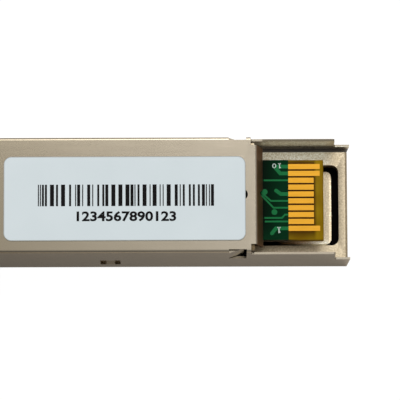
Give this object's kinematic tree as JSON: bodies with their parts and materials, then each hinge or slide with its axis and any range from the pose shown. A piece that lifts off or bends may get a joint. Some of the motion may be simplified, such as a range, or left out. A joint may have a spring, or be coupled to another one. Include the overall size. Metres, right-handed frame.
{
  "type": "optical transceiver module",
  "caption": "Pluggable optical transceiver with a cast base, folded sheet cover, duplex plug bays, bail latch and gold card-edge contacts.",
  "frame": {"origin": "middle of the footprint, on the plane that the smooth roof face rests on", "axes": "+X along the module towards the card edge, +Y across it, +Z out of the face with the label"},
  "size_m": [0.0564, 0.0152, 0.0091],
  "materials": {
    "zinc_casting": "nickel-plated zinc die casting, as cast",
    "plated_sheet": "smooth nickel-plated sheet",
    "label_film": "white label with a plain dark bar pattern",
    "board_laminate": "bare glass-fibre laminate",
    "solder_mask": "dark green solder mask",
    "masked_copper": "copper conductors under green mask",
    "contact_gold": "hard gold plating",
    "stainless": "turned or stamped stainless steel",
    "spring_sheet": "bright spring sheet",
    "can_plating": "plated can",
    "zirconia": "polished white ceramic",
    "polyimide": "amber flexible film",
    "black_moulding": "moulded black plastic",
    "chip_moulding": "black chip package",
    "capacitor_ceramic": "tan chip body with tinned ends",
    "resistor_ceramic": "black chip body with tinned ends",
    "ferrite": "dark grey ferrite",
    "thermal_compound": "soft grey-blue pad"
  },
  "bodies": {
    "housing": {"base_housing": "zinc_casting", "shell_cover": "plated_sheet", "label": "label_film", "circuit_board": "board_laminate", "solder_mask_label_side": "solder_mask", "solder_mask_roof_side": "solder_mask", "covered_traces": "masked_copper", "contact_pads_label_side": "contact_gold", "contact_pads_roof_side": "contact_gold", "transmitter_barrel": "stainless", "receiver_barrel": "stainless", "transmitter_sleeve": "zirconia", "receiver_sleeve": "zirconia", "transmitter_can": "can_plating", "receiver_can": "can_plating", "transmitter_flex": "polyimide", "receiver_flex": "polyimide", "optics_holder": "black_moulding", "driver_chip": "chip_moulding", "amplifier_chip": "chip_moulding", "controller_chip": "chip_moulding", "memory_chip": "chip_moulding", "thermal_pad": "thermal_compound", "chip_capacitors": "capacitor_ceramic", "chip_resistors": "resistor_ceramic", "ferrite_beads": "ferrite", "ground_collar": "spring_sheet", "pivot_pins": "stainless"},
    "bail": {"bail_frame": "stainless", "bail_grip": "black_moulding", "drive_pins": "stainless"},
    "slide": {"release_slide": "stainless"}
  },
  "joints": [
    {"name": "release_travel", "type": "slide", "parent": "housing", "child": "slide", "axis": [1, 0, 0], "range_m": [0, 0.00195]},
    {"name": "bail_swing", "type": "hinge", "parent": "housing", "child": "bail", "pos_m": [-0.0246, 0, 0.0056], "axis": [0, 1, 0], "range_deg": [0, 75]}
  ],
  "couplings": [
    {"joint": "bail_swing", "follows": "release_travel", "rad_per_m": 671.9}
  ]
}
